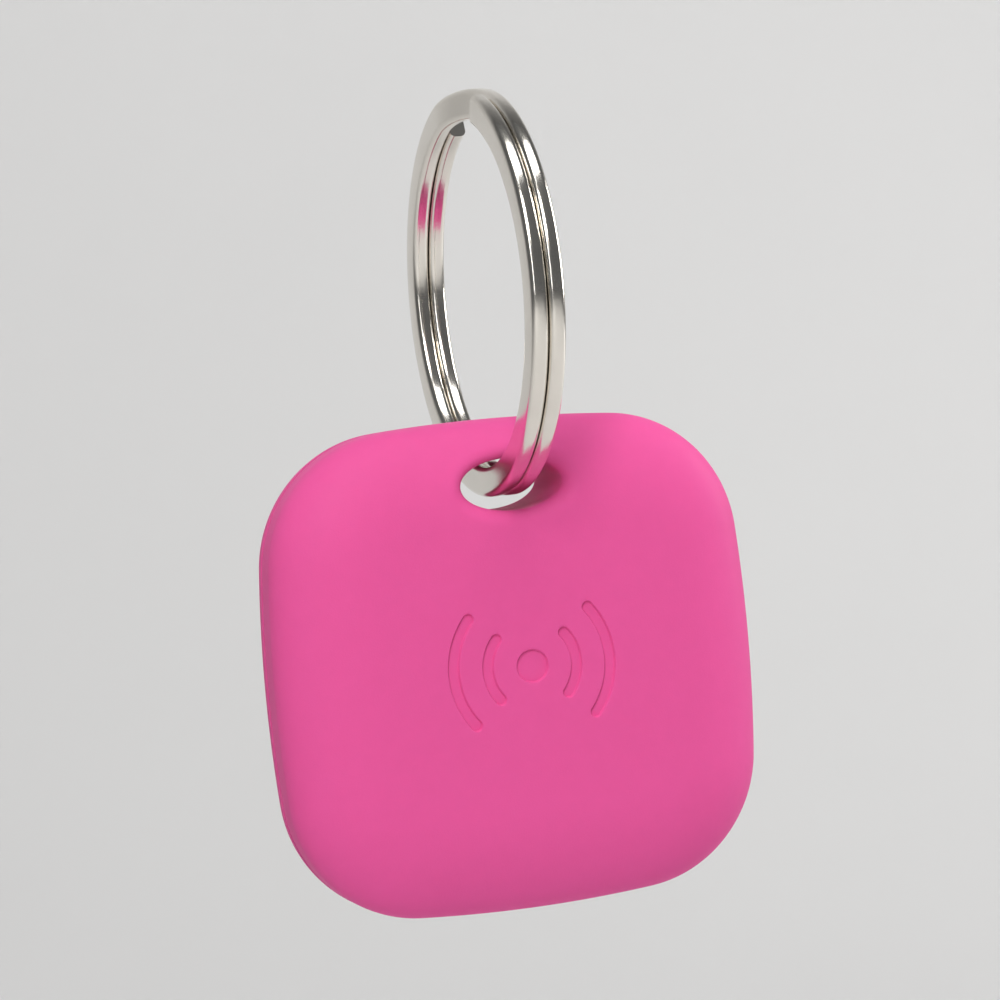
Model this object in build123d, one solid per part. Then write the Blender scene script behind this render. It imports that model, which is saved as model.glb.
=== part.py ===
"""Bluetooth tracker tag: a rounded-square pink housing that hangs on a steel split ring.

Frame, in millimetres: +Z up, +X to the tag's right seen from its front, and the front face
looks along -Y. The origin is the top of the split ring's inside, where the tag hangs.
Inside the tag, depths are counted from the front face towards the back, and heights from the
middle of the housing.
"""

import math
import os

from build123d import *

# Housing
HALF_WIDTH = 18.5
HALF_HEIGHT = 18.2
SIDE_RADIUS = 110.0  # the four sides bow out very slightly
CORNER_RADIUS = 10.0
THICKNESS = 8.6
FRONT_EDGE_RADIUS = 3.2
BACK_EDGE_RADIUS = 2.2
WALL = 1.3
FRONT_WALL = 1.2
BACK_WALL = 1.05
FRONT_SKIRT_END = 5.55  # the seam is a gap between these two depths
BACK_RIM_START = 5.9
PRESS_TRAVEL = 0.25  # how far the front cover goes in when it is pressed

# Ring hole, through both covers near the top edge
HOLE_HEIGHT = 13.3
HOLE_HALF_WIDTH = 3.9
HOLE_HALF_HEIGHT = 1.9
HOLE_LIP_RADIUS = 1.0
BOSS_HALF_WIDTH = 5.2
BOSS_DROP = 3.1  # from the hole's centre to the underside of its boss
BOSS_CORNER = 2.8
BOSS_GAP = 0.15  # between the boss, which runs through to the back face, and the back cover

# Split ring: two turns of flat wire side by side
RING_INNER_RADIUS = 12.8
WIRE_WIDTH = 2.2  # radial
WIRE_THICKNESS = 1.24  # along the ring's axis
WIRE_EDGE = 0.45
TURN_GAP = 0.06
CROSSOVER_DEG = 34.0  # where the wire steps from one turn to the other
RING_END_CLEARANCE_DEG = 3.0
RING_BOTTOM_TO_HOLE = 0.6  # the hole's top edge above the ring's lowest inside point

# The back cover's rib, which plugs into the frame
RIB_OUTER = 3.05
RIB_INNER = 3.75

# Coin cell, 20 mm across and 3.2 mm thick
CELL_RADIUS = 10.0
CELL_THICKNESS = 3.2
CELL_NEAR = 4.10
CELL_HEIGHT = -2.5
CELL_SHELL = 0.25
CELL_CAP_RADIUS = 8.6

# Inner frame and board
FIT = 0.2  # between the frame's wall and the covers
FRAME_WALL = 0.9
FRAME_NEAR = 2.9
FRAME_FAR = 7.1
FLOOR_NEAR = 3.55
FLOOR_FAR = 4.05
BOARD_NEAR = 2.95
BOARD_FAR = 3.55
BOARD_GAP = 0.15
WELL_GAP = 0.25
WELL_WALL = 0.8
WELL_FAR = 6.9

# Screws: M1.4, three millimetres under the head
SCREW_PLACES = [(-12.2, -12.2), (12.2, -12.2), (-12.2, 11.4), (12.2, 11.4)]
SCREW_RADIUS = 0.68
SCREW_HEAD_RADIUS = 1.3
SCREW_HEAD_HEIGHT = 0.5
SCREW_LENGTH = 2.9
SCREW_BOSS_RADIUS = 1.6
SCREW_BOSS_FAR = 6.3

# Sounder, bonded inside the front cover
PIEZO_HEIGHT = -0.8
PIEZO_RADIUS = 10.0
PIEZO_CERAMIC_RADIUS = 7.5
BOND_THICKNESS = 0.10
PLATE_THICKNESS = 0.15
CERAMIC_THICKNESS = 0.18

# Push switch, under a nub in the front cover
SWITCH_HEIGHT = -13.8
SWITCH_HALF_WIDTH = 2.2
SWITCH_HALF_HEIGHT = 1.6
SWITCH_NEAR = 2.0
PLUNGER_RADIUS = 1.0
PLUNGER_NEAR = 1.55
NUB_FAR = 1.5

# Mark pressed into the front face: a dot with arcs on both sides
MARK_DEPTH = 0.22
MARK_LINE = 0.7
MARK_DOT_RADIUS = 1.15
MARK_ARC_RADII = [3.4, 6.0]
MARK_ARC_HALF_DEG = 40.0

# Round seat in the back face for a disc of adhesive tape
SEAT_RADIUS = 11.0
SEAT_DEPTH = 0.25
SEAT_HEIGHT = -3.4

RING_CENTRE = -RING_INNER_RADIUS
HOLE_TOP = -2 * RING_INNER_RADIUS + RING_BOTTOM_TO_HOLE
TAG_CENTRE = HOLE_TOP - HOLE_HALF_HEIGHT - HOLE_HEIGHT
PIEZO_NEAR = FRONT_WALL + BOND_THICKNESS
CERAMIC_NEAR = PIEZO_NEAR + PLATE_THICKNESS
CERAMIC_FAR = CERAMIC_NEAR + CERAMIC_THICKNESS
CELL_FAR = CELL_NEAR + CELL_THICKNESS
BACK_WALL_NEAR = THICKNESS - BACK_WALL
TOWARDS_FRONT = (0, -1, 0)


# Drawing helpers


def slab(outline, near, far):
    """The outline as a plate between two depths."""
    plane = Plane.XZ.offset(THICKNESS / 2 - far)
    return extrude(plane * outline, far - near, dir=TOWARDS_FRONT)


def at(x, height, shape):
    """A flat shape moved to a place on the tag's face."""
    return Pos(x, height) * shape


def disc(radius, near, far, x=0.0, height=0.0):
    return slab(at(x, height, Circle(radius)), near, far)


def block(width, tall, near, far, x=0.0, height=0.0):
    return slab(at(x, height, Rectangle(width, tall)), near, far)


def tube(outer, inner, near, far, x=0.0, height=0.0):
    return disc(outer, near, far, x, height) - disc(inner, near, far, x, height)


def squircle(inset):
    """The housing's outline, moved in by inset: four flat side arcs joined by four corner arcs."""
    half_w = HALF_WIDTH - inset
    half_h = HALF_HEIGHT - inset
    side = SIDE_RADIUS - inset
    corner = CORNER_RADIUS - inset
    back_x = side - half_w
    back_z = side - half_h
    apart = math.hypot(back_x, back_z)
    rise = math.sqrt((side - corner) ** 2 - (apart / 2) ** 2)
    corner_x = -back_x / 2 + rise * back_z / apart
    corner_z = -back_z / 2 + rise * back_x / apart
    low = math.degrees(math.atan2(corner_z, corner_x + back_x))
    high = math.degrees(math.atan2(corner_z + back_z, corner_x))
    arcs = [
        CenterArc((-back_x, 0), side, -low, 2 * low),
        CenterArc((corner_x, corner_z), corner, low, high - low),
        CenterArc((0, -back_z), side, high, 180 - 2 * high),
        CenterArc((-corner_x, corner_z), corner, 180 - high, high - low),
        CenterArc((back_x, 0), side, 180 - low, 2 * low),
        CenterArc((-corner_x, -corner_z), corner, 180 + low, high - low),
        CenterArc((0, back_z), side, 180 + high, 180 - 2 * high),
        CenterArc((corner_x, -corner_z), corner, 360 - high, high - low),
    ]
    return make_face(arcs)


def boss_outline(clearance):
    """The block round the ring hole, grown by clearance. It runs up past the top edge."""
    half = BOSS_HALF_WIDTH + clearance
    bottom = HOLE_HEIGHT - BOSS_DROP - clearance
    top = HALF_HEIGHT + 1.0
    lower = at(0, bottom + BOSS_CORNER, Rectangle(2 * half, 2 * BOSS_CORNER))
    lower = fillet(lower.vertices(), BOSS_CORNER - 0.01)
    upper = at(0, (bottom + BOSS_CORNER + top) / 2, Rectangle(2 * half, top - bottom - BOSS_CORNER))
    return lower + upper


def cavity(inset, near, far):
    """A plate of the space inside the housing, clear of the ring hole's boss."""
    return slab(squircle(inset), near, far) - slab(boss_outline(inset - WALL), near - 1, far + 1)


def cavity_band(outer, inner, near, far):
    """A wall that follows the housing's inside all the way round."""
    return cavity(outer, near, far) - cavity(inner, near - 0.5, far + 0.5)


def edges_at_depth(part, depth):
    y = depth - THICKNESS / 2
    return part.edges().filter_by_position(Axis.Y, y - 1e-4, y + 1e-4)


def ring_hole(near, far):
    return slab(at(0, HOLE_HEIGHT, Ellipse(HOLE_HALF_WIDTH, HOLE_HALF_HEIGHT)), near, far)


def strip(points, thickness, width, height, x=0.0):
    """A bent metal strip. points are (x, depth) along its middle, and width runs along Z."""
    middle = [(px, depth - THICKNESS / 2) for px, depth in points]
    flat = trace(Polyline(*middle), thickness)
    return Pos(x, 0, height - width / 2) * extrude(flat, width, dir=(0, 0, 1))


# Covers


def mark():
    """The pressed-in mark, as the solid that is cut away."""
    cutter = disc(MARK_DOT_RADIUS, -1, MARK_DEPTH)
    wedge_x = 12 * math.cos(math.radians(MARK_ARC_HALF_DEG))
    wedge_z = 12 * math.sin(math.radians(MARK_ARC_HALF_DEG))
    for side in (-1, 1):
        corners = [(0, 0), (side * wedge_x, wedge_z), (side * wedge_x, -wedge_z)]
        wedge = slab(make_face(Polyline(*corners, close=True)), -1, MARK_DEPTH)
        for radius in MARK_ARC_RADII:
            band = tube(radius + MARK_LINE / 2, radius - MARK_LINE / 2, -1, MARK_DEPTH)
            cutter += band & wedge
    return cutter


def lug_places():
    """(x, height, turn) of the front cover's snap lugs: two on each side and two at the bottom."""
    side_x = HALF_WIDTH - WALL
    bottom = -(HALF_HEIGHT - WALL)
    places = [(side * side_x, height, 90) for side in (-1, 1) for height in (-4.5, 5.5)]
    return places + [(x, bottom, 0) for x in (-5.5, 5.5)]


def lugs(length, reach, near, far):
    """One block on the cover's inner wall at each lug, reaching inwards."""
    shapes = []
    for x, height, turn in lug_places():
        shapes.append(slab(at(x, height, Rot(0, 0, turn) * Rectangle(length, 2 * reach)), near, far))
    return Part() + shapes


def housing_form():
    """The outside of both covers as one solid, with the ring hole through it."""
    form = slab(squircle(0), 0, THICKNESS)
    form = fillet(edges_at_depth(form, 0), FRONT_EDGE_RADIUS)
    form = fillet(edges_at_depth(form, THICKNESS), BACK_EDGE_RADIUS)
    form -= ring_hole(-1, THICKNESS + 1)
    for depth in (0, THICKNESS):
        form = fillet(hole_rim(form, depth), HOLE_LIP_RADIUS)
    return form


def hole_rim(form, depth):
    """The ring hole's edge on one face."""
    rim = edges_at_depth(form, depth)
    return [e for e in rim if abs(e.center().Z - HOLE_HEIGHT) < 1.5 and abs(e.center().X) < 4]


def front_cover():
    """The shell, with the ring hole's boss running through to the back face."""
    behind = slab(at(0, 0, Rectangle(50, 50)), FRONT_SKIRT_END, THICKNESS + 1)
    shell = housing_form() - (behind - slab(boss_outline(0), 0, THICKNESS + 2))
    hollow = slab(squircle(WALL), FRONT_WALL, THICKNESS + 1)
    hollow = fillet(edges_at_depth(hollow, FRONT_WALL), 1.8)
    shell -= hollow - slab(boss_outline(0), 0, THICKNESS + 2)
    shell += disc(1.2, FRONT_WALL - 0.3, NUB_FAR, 0, SWITCH_HEIGHT)
    shell += lugs(3.6, 0.55, 4.5, 5.0)
    return shell - mark()


def back_cover():
    """The lid over the cell, notched round the ring hole's boss so that it comes off past the ring."""
    shell = housing_form() & slab(at(0, 0, Rectangle(50, 50)), BACK_RIM_START, THICKNESS + 1)
    shell -= slab(boss_outline(BOSS_GAP), 0, THICKNESS + 2)
    hollow = slab(squircle(WALL), BACK_RIM_START - 1, BACK_WALL_NEAR)
    shell -= fillet(edges_at_depth(hollow, BACK_WALL_NEAR), 0.8)
    # The rib that plugs into the frame and carries the seal
    shell += cavity_band(RIB_OUTER, RIB_INNER, SCREW_BOSS_FAR + 0.05, BACK_WALL_NEAR + 0.1)
    shell -= disc(SEAT_RADIUS, THICKNESS - SEAT_DEPTH, THICKNESS + 1, 0, SEAT_HEIGHT)
    # A coin's edge goes in here to lever the cover off
    return shell - block(8.0, 3.0, BACK_RIM_START - 1, BACK_RIM_START + 0.7, 0, -HALF_HEIGHT)


def back_seal():
    frame_inside = WALL + FIT + FRAME_WALL
    return cavity_band(frame_inside + 0.05, RIB_OUTER - 0.02, 6.45, 7.05)


def cell_pad():
    return disc(6.0, CELL_FAR, BACK_WALL_NEAR, 0, CELL_HEIGHT)


# Inner frame


def cell_well():
    """The ring round the cell, cut back where the back cover's rib passes over it."""
    inner = CELL_RADIUS + WELL_GAP
    well = tube(inner + WELL_WALL, inner, FLOOR_NEAR + 0.1, WELL_FAR, 0, CELL_HEIGHT)
    rib_room = boss_outline(RIB_INNER - WALL + 0.12)
    return well - slab(rib_room, SCREW_BOSS_FAR - 0.15, WELL_FAR + 1)


def inner_frame():
    wall_outer = WALL + FIT
    frame = cavity_band(wall_outer, wall_outer + FRAME_WALL, FRAME_NEAR, FRAME_FAR)
    frame += cavity(wall_outer + FRAME_WALL - 0.1, FLOOR_NEAR, FLOOR_FAR)
    frame += cell_well()
    for x, height in SCREW_PLACES:
        frame += disc(SCREW_BOSS_RADIUS, FLOOR_NEAR + 0.1, SCREW_BOSS_FAR, x, height)
        frame -= disc(SCREW_RADIUS + 0.02, FLOOR_NEAR - 1, SCREW_BOSS_FAR - 0.3, x, height)
    # Window for the lower battery contact, slots for the side contact and a fingertip
    frame -= disc(5.6, FLOOR_NEAR - 1, FLOOR_FAR + 1, 0, CELL_HEIGHT)
    frame -= block(4.4, 4.4, FLOOR_NEAR - 1, WELL_FAR + 1, 12.1, CELL_HEIGHT)
    frame -= block(3.4, 6.5, FLOOR_FAR, WELL_FAR + 1, -11.0, CELL_HEIGHT)
    # Pockets that the front cover's lugs click into, with room for its travel
    return frame - lugs(4.2, 0.7, 4.4, 5.4)


def screw():
    body = disc(SCREW_HEAD_RADIUS, BOARD_NEAR - SCREW_HEAD_HEIGHT, BOARD_NEAR)
    body = fillet(edges_at_depth(body, BOARD_NEAR - SCREW_HEAD_HEIGHT), 0.2)
    body += disc(SCREW_RADIUS, BOARD_NEAR - 0.1, BOARD_NEAR + SCREW_LENGTH)
    for turn in (0, 90):
        slot = Rot(0, 0, turn) * Rectangle(1.4, 0.28)
        body -= slab(slot, BOARD_NEAR - SCREW_HEAD_HEIGHT - 1, BOARD_NEAR - 0.25)
    return body


def frame_screws():
    return [Pos(x, 0, height) * screw() for x, height in SCREW_PLACES]


# Board and what is soldered to it


def main_board():
    edge = WALL + FIT + FRAME_WALL + BOARD_GAP
    board = cavity(edge, BOARD_NEAR, BOARD_FAR)
    for x, height in SCREW_PLACES:
        board -= disc(0.8, BOARD_NEAR - 1, BOARD_FAR + 1, x, height)
    return board


def chip(width, tall, thickness, x, height, chamfer_by=0.0):
    """A part soldered flat on the board's front side."""
    body = block(width, tall, BOARD_NEAR - thickness, BOARD_NEAR, x, height)
    if chamfer_by:
        body = chamfer(edges_at_depth(body, BOARD_NEAR - thickness), chamfer_by)
    return body


def bluetooth_chip():
    body = chip(6.0, 6.0, 0.85, -4.4, 2.2, 0.06)
    return body - disc(0.3, 0, BOARD_NEAR - 0.8, -6.6, 4.4)


def memory_chip():
    return chip(4.0, 3.0, 0.75, 2.6, 5.4, 0.05)


def motion_sensor():
    return chip(2.0, 2.0, 0.7, 6.6, 1.6, 0.04)


def buzzer_driver():
    body = chip(2.9, 1.6, 0.9, 5.2, -4.6, 0.08)
    for step in (-0.95, 0.0, 0.95):
        for side in (-1, 1):
            body += chip(0.4, 0.62, 0.15, 5.2 + step, -4.6 + side * 1.05)
    return body


def boost_coil():
    core = chip(3.0, 3.0, 0.95, 0.2, -5.0, 0.15)
    return core - disc(0.9, 0, BOARD_NEAR - 0.85, 0.2, -5.0)


def main_crystal():
    base = chip(2.0, 1.6, 0.3, -9.3, 3.4)
    return base + block(1.7, 1.3, BOARD_NEAR - 0.5, BOARD_NEAR - 0.3, -9.3, 3.4)


def clock_crystal():
    base = chip(3.2, 1.5, 0.45, -4.4, -3.2)
    return base + block(2.9, 1.2, BOARD_NEAR - 0.75, BOARD_NEAR - 0.45, -4.4, -3.2)


def chip_antenna():
    body = chip(1.0, 2.0, 0.9, -9.4, -13.4) + chip(1.0, 2.0, 0.9, -5.4, -13.4)
    return body + chip(3.2, 1.9, 0.85, -7.4, -13.4)


def small_part(x, height, turn):
    """A chip capacitor or resistor, with its two end caps."""
    body = chip(0.6, 0.5, 0.45, 0, 0)
    caps = chip(0.25, 0.55, 0.5, -0.42, 0) + chip(0.25, 0.55, 0.5, 0.42, 0)
    return Pos(x, 0, height) * Rot(0, turn, 0) * (body + caps)


def capacitors():
    row = [(-7.0 + 1.6 * i, 7.4, 90) for i in range(4)]
    column = [(-8.9, 0.9 - 1.5 * i, 0) for i in range(3)]
    supply = [(9.3, -2.9, 90), (9.3, -5.1, 90), (2.9, -7.6, 0)]
    return [small_part(*place) for place in row + column + supply]


def resistors():
    row = [(1.4 + 1.7 * i, 2.4, 90) for i in range(2)]
    lower = [(-2.0, -8.2, 0), (-4.2, -8.2, 0), (5.6, -8.6, 0), (-9.4, -10.6, 90)]
    return [small_part(*place) for place in row + lower]


def test_pads():
    places = [(5.2 + 1.9 * i, -13.6) for i in range(3)] + [(12.6, 4.6 - 2.2 * i) for i in range(4)]
    return [disc(0.6, BOARD_NEAR - 0.04, BOARD_NEAR, x, height) for x, height in places]


def negative_contact():
    """A ring under the cell with three fingers that spring up against it."""
    sheet = 0.12
    ring = tube(4.9, 2.4, BOARD_FAR, BOARD_FAR + sheet, 0, CELL_HEIGHT)
    points = [(4.0, BOARD_FAR + sheet / 2), (2.0, BOARD_FAR + sheet / 2)]
    points += [(1.0, CELL_NEAR - 0.08), (0.7, CELL_NEAR - 0.08)]
    finger = strip(points, sheet, 1.0, 0)
    fingers = [Pos(0, 0, CELL_HEIGHT) * Rot(0, turn, 0) * finger for turn in (0, 120, 240)]
    return ring + fingers


def positive_contact():
    """A folded strip that presses on the side of the cell."""
    foot = BOARD_FAR + 0.075
    points = [(13.6, foot), (11.9, foot), (11.9, 6.3), (11.1, 6.6), (10.14, 5.7), (10.5, 4.9)]
    return strip(points, 0.15, 3.0, CELL_HEIGHT)


def buzzer_springs():
    """Two sprung contacts that reach from the board to the sounder."""
    foot = BOARD_NEAR - 0.06
    shapes = []
    for x, contact in ((2.4, CERAMIC_FAR), (8.7, CERAMIC_NEAR)):
        top = contact + 0.065
        points = [(-0.9, foot), (0.9, foot), (0.9, foot - 0.5), (-0.5, top), (-0.9, top)]
        shapes.append(strip(points, 0.12, 0.9, PIEZO_HEIGHT, x))
    return shapes


# Push switch


def switch_base():
    body = block(2 * SWITCH_HALF_WIDTH, 2 * SWITCH_HALF_HEIGHT, SWITCH_NEAR, BOARD_NEAR, 0, SWITCH_HEIGHT)
    return body - disc(1.5, SWITCH_NEAR - 1, SWITCH_NEAR + 0.65, 0, SWITCH_HEIGHT)


def switch_frame():
    near = SWITCH_NEAR - 0.1
    plate = block(2 * SWITCH_HALF_WIDTH, 2 * SWITCH_HALF_HEIGHT, near, SWITCH_NEAR, 0, SWITCH_HEIGHT)
    plate -= disc(PLUNGER_RADIUS + 0.1, near - 1, SWITCH_NEAR + 1, 0, SWITCH_HEIGHT)
    for side in (-1, 1):
        plate += block(0.1, 2.0, near, BOARD_NEAR - 0.1, side * (SWITCH_HALF_WIDTH + 0.05), SWITCH_HEIGHT)
    return plate


def switch_dome():
    """The snap dome: a flat-topped cone of sheet, standing on the switch's floor."""
    sheet = 0.09
    floor = SWITCH_NEAR + 0.65 - THICKNESS / 2
    outside = [(1.35, floor), (1.35, floor - sheet), (0.75, floor - 0.3), (0, floor - 0.3)]
    inside = [(0, floor - 0.3 + sheet), (0.72, floor - 0.3 + sheet), (1.25, floor)]
    profile = make_face(Polyline(*outside, *inside, close=True))
    return Pos(0, 0, SWITCH_HEIGHT) * revolve(profile, Axis.Y)


def switch_plunger():
    head = disc(PLUNGER_RADIUS, PLUNGER_NEAR, SWITCH_NEAR + 0.1, 0, SWITCH_HEIGHT)
    head = chamfer(edges_at_depth(head, PLUNGER_NEAR), 0.1)
    return head + disc(1.3, SWITCH_NEAR + 0.05, SWITCH_NEAR + 0.3, 0, SWITCH_HEIGHT)


# Sounder


def piezo_bond():
    return tube(PIEZO_RADIUS, PIEZO_RADIUS - 1.0, FRONT_WALL, PIEZO_NEAR, 0, PIEZO_HEIGHT)


def piezo_plate():
    return disc(PIEZO_RADIUS, PIEZO_NEAR, CERAMIC_NEAR, 0, PIEZO_HEIGHT)


def piezo_ceramic():
    return disc(PIEZO_CERAMIC_RADIUS, CERAMIC_NEAR, CERAMIC_FAR, 0, PIEZO_HEIGHT)


# Coin cell


def cell_can():
    can = disc(CELL_RADIUS, CELL_NEAR + 0.3, CELL_FAR, 0, CELL_HEIGHT)
    can = fillet(edges_at_depth(can, CELL_FAR), 0.45)
    can = fillet(edges_at_depth(can, CELL_NEAR + 0.3), 0.3)
    can -= disc(CELL_RADIUS - CELL_SHELL, CELL_NEAR + 0.55, CELL_FAR - CELL_SHELL, 0, CELL_HEIGHT)
    return can - disc(9.2, CELL_NEAR - 1, CELL_NEAR + 1, 0, CELL_HEIGHT)


def cell_cap():
    cap = disc(CELL_CAP_RADIUS, CELL_NEAR, CELL_FAR - 0.6, 0, CELL_HEIGHT)
    cap = fillet(edges_at_depth(cap, CELL_NEAR), 0.24)
    return cap - disc(CELL_CAP_RADIUS - CELL_SHELL, CELL_NEAR + CELL_SHELL, CELL_FAR, 0, CELL_HEIGHT)


def cell_gasket():
    body = tube(9.7, CELL_CAP_RADIUS, CELL_NEAR + 0.55, CELL_FAR - 0.3, 0, CELL_HEIGHT)
    return body + tube(9.2, CELL_CAP_RADIUS, CELL_NEAR + 0.34, CELL_NEAR + 0.6, 0, CELL_HEIGHT)


def cell_cathode():
    return disc(8.0, 5.65, CELL_FAR - CELL_SHELL, 0, CELL_HEIGHT)


def cell_separator():
    return disc(8.3, 5.5, 5.65, 0, CELL_HEIGHT)


def cell_anode():
    return disc(7.8, CELL_NEAR + CELL_SHELL, 5.5, 0, CELL_HEIGHT)


# Split ring, built about the ring's own axis


def wire_section(angle, shift):
    """The wire's cross-section on the half-plane at this angle round the ring, shifted along X."""
    middle = RING_INNER_RADIUS + WIRE_WIDTH / 2
    outward = (0, math.cos(math.radians(angle)), math.sin(math.radians(angle)))
    origin = (shift, middle * outward[1], middle * outward[2])
    plane = Plane(origin=origin, x_dir=outward, z_dir=(0, -outward[2], outward[1]))
    return plane * RectangleRounded(WIRE_WIDTH, WIRE_THICKNESS, WIRE_EDGE)


def split_ring():
    """Two turns. The wire crosses from one to the other at the top, beside its two ends."""
    lane = (WIRE_THICKNESS + TURN_GAP) / 2
    half = CROSSOVER_DEG / 2
    turn_length = 360 - CROSSOVER_DEG - RING_END_CLEARANCE_DEG
    top = 90.0
    axis = Axis((0, 0, 0), (1, 0, 0))
    first = revolve(wire_section(top + half, lane), axis, turn_length)
    second = revolve(wire_section(top - half, -lane), axis, -turn_length)
    steps = 8
    sections = []
    for i in range(steps + 1):
        share = i / steps
        ease = share * share * (3 - 2 * share)
        sections.append(wire_section(top - half + share * CROSSOVER_DEG, lane * (2 * ease - 1)))
    ring = first + second + loft(sections)
    return Pos(0, 0, RING_CENTRE) * ring


TAG_PIECES = {
    "front_cover": front_cover,
    "back_cover": back_cover,
    "back_seal": back_seal,
    "cell_pad": cell_pad,
    "inner_frame": inner_frame,
    "frame_screws": frame_screws,
    "main_board": main_board,
    "bluetooth_chip": bluetooth_chip,
    "memory_chip": memory_chip,
    "motion_sensor": motion_sensor,
    "buzzer_driver": buzzer_driver,
    "boost_coil": boost_coil,
    "main_crystal": main_crystal,
    "clock_crystal": clock_crystal,
    "chip_antenna": chip_antenna,
    "capacitors": capacitors,
    "resistors": resistors,
    "test_pads": test_pads,
    "negative_contact": negative_contact,
    "positive_contact": positive_contact,
    "buzzer_springs": buzzer_springs,
    "switch_base": switch_base,
    "switch_frame": switch_frame,
    "switch_dome": switch_dome,
    "switch_plunger": switch_plunger,
    "piezo_bond": piezo_bond,
    "piezo_plate": piezo_plate,
    "piezo_ceramic": piezo_ceramic,
    "cell_can": cell_can,
    "cell_cap": cell_cap,
    "cell_gasket": cell_gasket,
    "cell_cathode": cell_cathode,
    "cell_separator": cell_separator,
    "cell_anode": cell_anode,
}


def solids_of(made):
    """The solids of one piece, or of a group of like pieces."""
    group = made if isinstance(made, list) else [made]
    return [solid for shape in group for solid in shape.solids()]


def main():
    os.makedirs("parts", exist_ok=True)
    for name, make in TAG_PIECES.items():
        solids = [Pos(0, 0, TAG_CENTRE) * solid for solid in solids_of(make())]
        export_step(Compound(children=solids), f"parts/{name}.step")
    export_step(Compound(children=solids_of(split_ring())), "parts/split_ring.step")


main()
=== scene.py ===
import math

import bmesh
import bpy
from mathutils import Matrix, Vector


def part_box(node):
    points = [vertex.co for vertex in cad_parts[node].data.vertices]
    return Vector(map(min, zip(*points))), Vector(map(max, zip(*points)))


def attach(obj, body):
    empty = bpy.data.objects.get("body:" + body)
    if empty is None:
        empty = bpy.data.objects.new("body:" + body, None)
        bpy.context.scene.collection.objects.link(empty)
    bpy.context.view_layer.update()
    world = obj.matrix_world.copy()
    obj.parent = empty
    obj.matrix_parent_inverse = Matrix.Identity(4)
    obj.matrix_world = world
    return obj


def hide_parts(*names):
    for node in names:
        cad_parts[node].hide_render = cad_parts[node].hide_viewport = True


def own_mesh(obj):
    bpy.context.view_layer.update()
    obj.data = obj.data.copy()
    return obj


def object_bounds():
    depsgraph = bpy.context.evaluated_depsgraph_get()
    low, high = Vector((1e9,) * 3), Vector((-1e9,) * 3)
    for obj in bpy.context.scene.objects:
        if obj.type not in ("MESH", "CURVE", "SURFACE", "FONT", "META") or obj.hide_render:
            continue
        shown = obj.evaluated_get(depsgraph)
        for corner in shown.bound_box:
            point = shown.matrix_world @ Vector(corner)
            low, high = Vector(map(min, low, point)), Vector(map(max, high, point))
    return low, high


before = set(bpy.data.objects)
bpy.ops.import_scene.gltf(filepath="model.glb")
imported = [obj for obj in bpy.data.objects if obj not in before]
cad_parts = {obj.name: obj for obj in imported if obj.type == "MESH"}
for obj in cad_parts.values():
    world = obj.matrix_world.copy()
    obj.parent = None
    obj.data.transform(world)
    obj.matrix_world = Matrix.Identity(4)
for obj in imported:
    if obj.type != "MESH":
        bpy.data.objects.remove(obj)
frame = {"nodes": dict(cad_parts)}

bl_info = {
    "name": "Tracker tag",
    "version": (1, 0, 0),
    "blender": (4, 5, 0),
    "location": "View3D > Sidebar > Tracker tag",
    "description": "Builds a pink tracker tag on a split ring, with everything inside it",
    "category": "Object",
}

MM = 0.001
CAD_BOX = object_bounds()
NODES = frame["nodes"]
TAG_LOW, TAG_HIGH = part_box("front_cover")
TAG_CENTRE = (TAG_LOW + TAG_HIGH) / 2
FRONT_FACE = TAG_LOW.y
BACK_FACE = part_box("back_cover")[1].y
BOARD_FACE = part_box("main_board")[0].y

# Greatest angle, in degrees, between faces that are shaded as one surface
COVER_SMOOTH, WIRE_SMOOTH, PAD_SMOOTH, PART_SMOOTH = 40, 50, 60, 35


# Settings that a user would change


def number(name, description, default, **more):
    return bpy.props.FloatProperty(name=name, description=description, default=default, **more)


def length(name, description, default):
    return number(name, description, default, unit="LENGTH", precision=5)


def angle(name, description, default_degrees):
    return number(name, description, math.radians(default_degrees), subtype="ANGLE")


def factor(name, description, default):
    return number(name, description, default, subtype="FACTOR", min=0, max=1)


def colour(name, description, default):
    return bpy.props.FloatVectorProperty(
        name=name, description=description, default=default, subtype="COLOR", size=3, min=0, max=1
    )


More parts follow.
